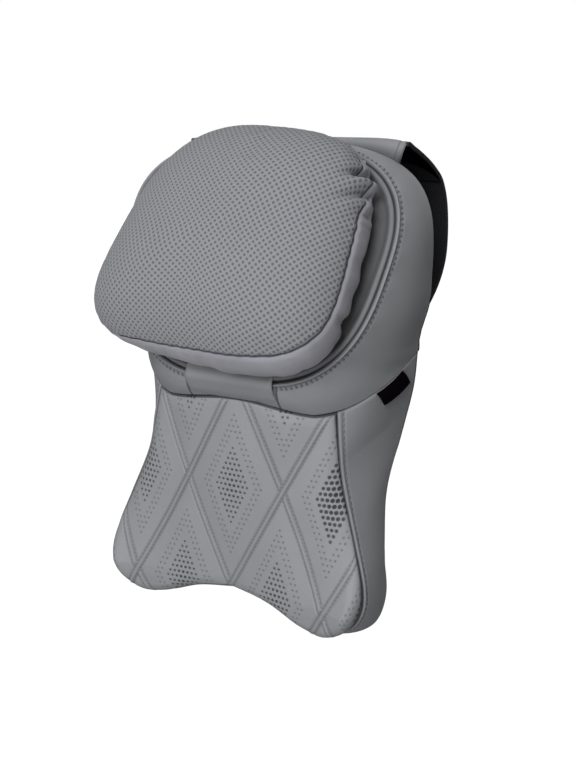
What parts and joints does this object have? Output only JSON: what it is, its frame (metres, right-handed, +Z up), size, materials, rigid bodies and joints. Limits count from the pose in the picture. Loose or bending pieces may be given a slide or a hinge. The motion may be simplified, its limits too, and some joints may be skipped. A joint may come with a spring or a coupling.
{
  "type": "car neck pillow",
  "caption": "Leather covered head block with a soft pillow on its front, a quilted perforated neck section below, and a hood and band that loop round a car headrest.",
  "frame": {"origin": "middle of the flat back face of the head block, where it lies against the headrest", "axes": "+X to the right as seen from the front, +Y back into the headrest, +Z up"},
  "size_m": [0.2934, 0.3091, 0.4634],
  "materials": {
    "grey_leather": "smooth nappa grain, low sheen",
    "perforated_leather": "quilted, perforated, low sheen",
    "dotted_knit": "knit with small sunk dots",
    "grey_suede": "short nap",
    "black_cloth": "plain woven",
    "charcoal_elastic": "knitted elastic",
    "black_label": "woven tape, bare",
    "foam": "open foam",
    "wadding": "loose fibre"
  },
  "bodies": {
    "root": {"head_foam": "foam", "head_front_panel": "grey_leather", "head_gusset": "grey_leather", "head_piping": "grey_leather", "head_back_panel": "black_cloth", "neck_foam": "foam", "neck_front_panel": "perforated_leather", "neck_gusset": "grey_leather", "neck_back_panel": "black_cloth", "pillow_face": "dotted_knit", "pillow_border": "grey_suede", "pillow_back": "grey_suede", "pillow_fill": "wadding", "pillow_flap": "grey_leather", "hood": "grey_leather", "hood_lining": "black_cloth", "back_band": "charcoal_elastic", "side_tab": "black_label"}
  },
  "joints": []
}
